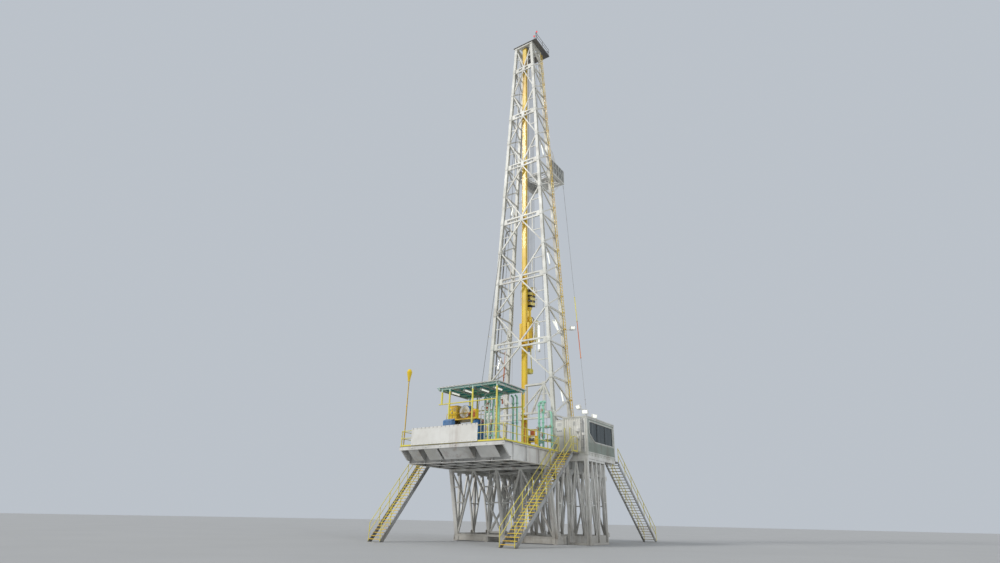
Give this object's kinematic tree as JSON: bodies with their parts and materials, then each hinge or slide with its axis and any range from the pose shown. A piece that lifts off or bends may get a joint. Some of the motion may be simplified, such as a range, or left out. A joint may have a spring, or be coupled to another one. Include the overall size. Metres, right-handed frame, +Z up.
{
  "type": "oil drilling rig, 1:10 scale model",
  "caption": "Land drilling rig at 1:10: lattice mast on a raised floor with base boxes, hoisting block, racking board, doghouse, canopy over the winch and stairs.",
  "frame": {"origin": "centre of the footprint at ground level", "axes": "+X to the right along the wide face of the mast, +Y from the winch side to the pipe side, +Z up"},
  "size_m": [1.19, 2.2394, 5.348],
  "materials": {
    "structure": "light grey paint over steel sections, scuffed and stained",
    "deck": "dark grey worn deck plate",
    "yellow": "safety yellow gloss paint",
    "bare_steel": "bare and galvanised steel",
    "house": "grey-green paint on steel sheet",
    "glass": "dark tinted window",
    "roof_green": "green sheet roofing",
    "machine_blue": "blue machinery enamel",
    "pipe_green": "pale green pipe paint",
    "screens": "dark grey wind screens",
    "panel_white": "white sheet"
  },
  "bodies": {
    "rig": {"base_skids": "structure", "base_side_trusses": "structure", "base_end_trusses": "structure", "cross_braces": "structure", "near_floor_frame": "structure", "side_floor_frames": "structure", "far_floor_frame": "structure", "floor_deck": "deck", "rotary_table": "deck", "mast_shoes": "structure", "lower_mast_sides": "structure", "lower_mast_back": "structure", "middle_mast_sides": "structure", "middle_mast_back": "structure", "upper_mast_sides": "structure", "upper_mast_back": "structure", "crown_frame": "structure", "crown_sheaves": "bare_steel", "crown_platform": "deck", "guide_beam": "yellow", "racking_board": "structure", "board_fingers": "bare_steel", "board_screens": "screens", "mast_ladder": "yellow", "doghouse_base": "house", "doghouse_end_walls": "house", "doghouse_outer_wall": "house", "doghouse_inner_wall": "house", "door_head": "house", "doghouse_roof": "house", "doghouse_window": "glass", "doghouse_truss": "structure", "doghouse_beams": "structure", "canopy_frame": "yellow", "canopy_roof": "roof_green", "drawworks": "machine_blue", "drawworks_drum": "bare_steel", "drawworks_motors": "machine_blue", "floor_railings": "yellow", "wind_panel": "panel_white", "stair_frames": "bare_steel", "right_treads": "bare_steel", "left_treads": "bare_steel", "far_treads": "bare_steel", "stair_landings": "deck", "stair_rails": "yellow", "winch_platform": "yellow", "mud_manifold": "pipe_green", "instrument_cabinet": "panel_white", "corner_lamp": "yellow", "escape_line": "bare_steel"},
    "hoist": {"drilling_lines": "bare_steel", "travelling_block": "yellow", "top_drive": "yellow", "elevator": "yellow"},
    "door": {"doghouse_door": "house"}
  },
  "joints": [
    {"name": "hoist_slide", "type": "slide", "parent": "rig", "child": "hoist", "axis": [0, 0, 1], "range_m": [-0.65, 2.45], "deforming": ["drilling_lines"]},
    {"name": "doghouse_door_hinge", "type": "hinge", "parent": "rig", "child": "door", "pos_m": [0.392, -0.04588, 0.71], "axis": [0, 0, 1], "range_deg": [0, 110]}
  ]
}
